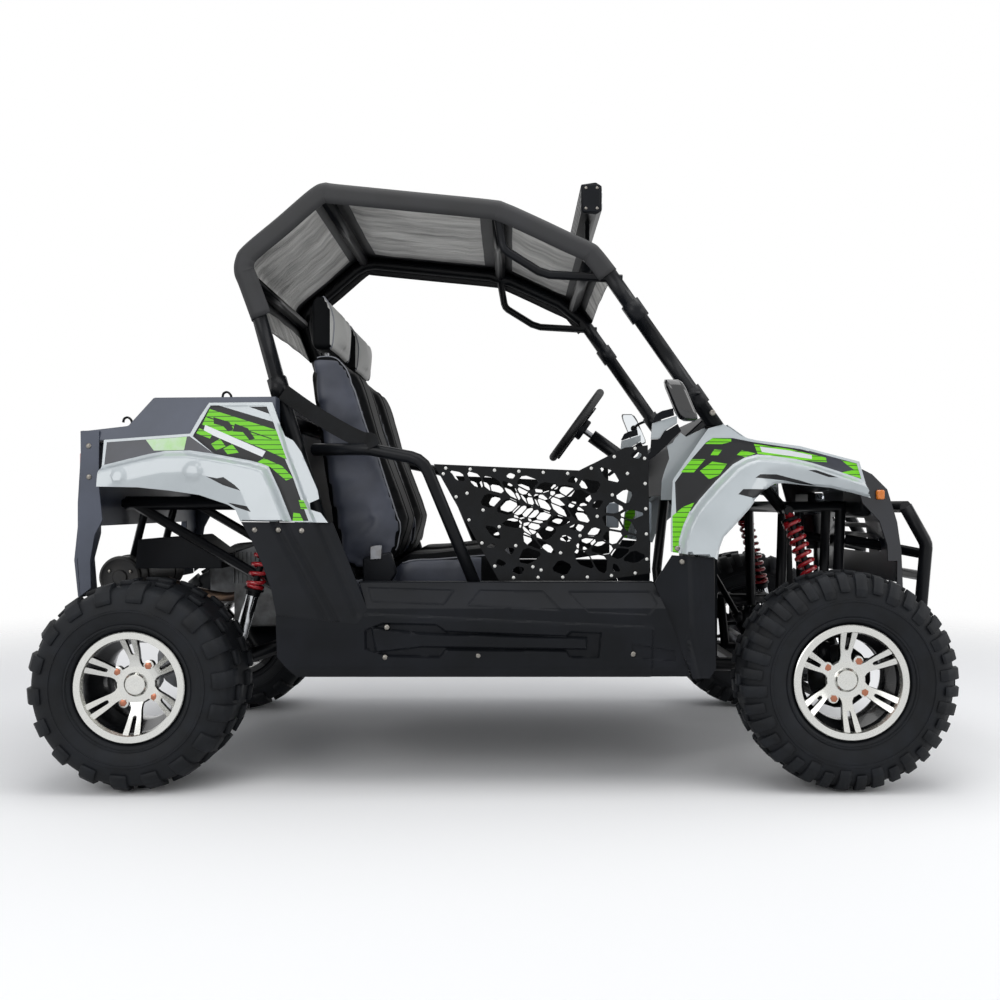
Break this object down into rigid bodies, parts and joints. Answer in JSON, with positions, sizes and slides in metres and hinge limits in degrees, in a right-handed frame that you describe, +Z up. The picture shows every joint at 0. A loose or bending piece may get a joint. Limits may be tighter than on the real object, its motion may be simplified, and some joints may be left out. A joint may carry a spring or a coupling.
{
  "type": "side by side utv",
  "caption": "Side-by-side utility vehicle with a fabric canopy on a tube cage, bucket seats, side nets, steered front wheels and a live rear axle.",
  "frame": {"origin": "on the ground, under the middle of the overall length and width", "axes": "+X forward, +Y to the vehicle's left, +Z up"},
  "size_m": [2.3322, 1.22, 1.5679],
  "materials": {
    "tyre_rubber": "matte",
    "machined_alloy": "satin",
    "bare_steel": "satin",
    "black_frame_paint": "satin",
    "canopy_fabric": "matte",
    "black_plastic": "satin",
    "grey_body_plastic": "gloss",
    "dark_nose_plastic": "gloss",
    "seat_vinyl": "satin",
    "engine_casting": "satin",
    "lamp_lens": "gloss",
    "damper_metal": "gloss",
    "spring_red": "gloss",
    "net_webbing": "matte"
  },
  "bodies": {
    "chassis": {"air_box": "black_plastic", "arms_front": "black_frame_paint", "cage_cross_tubes": "black_frame_paint", "cage_left": "black_frame_paint", "cage_right": "black_frame_paint", "canopy": "canopy_fabric", "dash": "black_plastic", "engine": "engine_casting", "exhaust": "black_frame_paint", "fender_front_left": "grey_body_plastic", "fender_front_right": "grey_body_plastic", "fender_rear_left": "grey_body_plastic", "fender_rear_right": "grey_body_plastic", "floor_tub": "black_plastic", "frame": "black_frame_paint", "front_bumper": "black_frame_paint", "hood": "grey_body_plastic", "lamps": "lamp_lens", "light_bar": "black_plastic", "mirrors": "black_plastic", "nose": "dark_nose_plastic", "pedals_and_lever": "black_plastic", "rack_housing": "bare_steel", "rear_deck": "black_plastic", "seat_box": "black_plastic", "seat_left": "seat_vinyl", "seat_right": "seat_vinyl", "shock_dampers": "damper_metal", "shock_springs": "spring_red", "side_guards": "black_frame_paint", "side_nets": "net_webbing", "side_panels_front": "black_plastic", "side_panels_rear": "black_plastic", "sill_left": "black_plastic", "sill_right": "black_plastic", "steering_column": "bare_steel", "swingarm": "black_frame_paint", "tail_panel": "black_plastic"},
    "wheel_front_left": {"tyre_front_left": "tyre_rubber", "rim_front_left": "machined_alloy", "hub_front_left": "bare_steel"},
    "wheel_front_right": {"tyre_front_right": "tyre_rubber", "rim_front_right": "machined_alloy", "hub_front_right": "bare_steel"},
    "knuckle_left": {"knuckle_left": "bare_steel"},
    "knuckle_right": {"knuckle_right": "bare_steel"},
    "rear_axle": {"tyres_rear": "tyre_rubber", "rims_rear": "machined_alloy", "axle_rear": "bare_steel"},
    "steering_wheel": {"steering_wheel": "black_plastic"},
    "steering_rack": {"tie_rods": "bare_steel"}
  },
  "joints": [
    {"name": "steer_right", "type": "hinge", "parent": "chassis", "child": "knuckle_right", "pos_m": [0.83, -0.412, 0.267], "axis": [0, 0, 1], "range_deg": [-28, 28]},
    {"name": "steer_left", "type": "hinge", "parent": "chassis", "child": "knuckle_left", "pos_m": [0.83, 0.412, 0.267], "axis": [0, 0, 1], "range_deg": [-28, 28]},
    {"name": "steering_wheel_turn", "type": "hinge", "parent": "chassis", "child": "steering_wheel", "pos_m": [0.221, 0.22, 0.952], "axis": [-0.809, 0, 0.5878], "range_deg": [-210, 210]},
    {"name": "rack_slide", "type": "slide", "parent": "chassis", "child": "steering_rack", "axis": [0, 1, 0], "range_m": [-0.042, 0.042]},
    {"name": "front_wheel_right_spin", "type": "hinge", "parent": "knuckle_right", "child": "wheel_front_right", "pos_m": [0.83, -0.51, 0.267], "axis": [0, 1, 0], "continuous": true},
    {"name": "front_wheel_left_spin", "type": "hinge", "parent": "knuckle_left", "child": "wheel_front_left", "pos_m": [0.83, 0.51, 0.267], "axis": [0, 1, 0], "continuous": true},
    {"name": "rear_axle_spin", "type": "hinge", "parent": "chassis", "child": "rear_axle", "pos_m": [-0.909, 0, 0.256], "axis": [0, 1, 0], "continuous": true}
  ],
  "couplings": [
    {"joint": "steer_left", "follows": "steer_right", "ratio": 1},
    {"joint": "steering_wheel_turn", "follows": "steer_right", "ratio": 7.5},
    {"joint": "rack_slide", "follows": "steer_right", "m_per_rad": -0.0835}
  ]
}
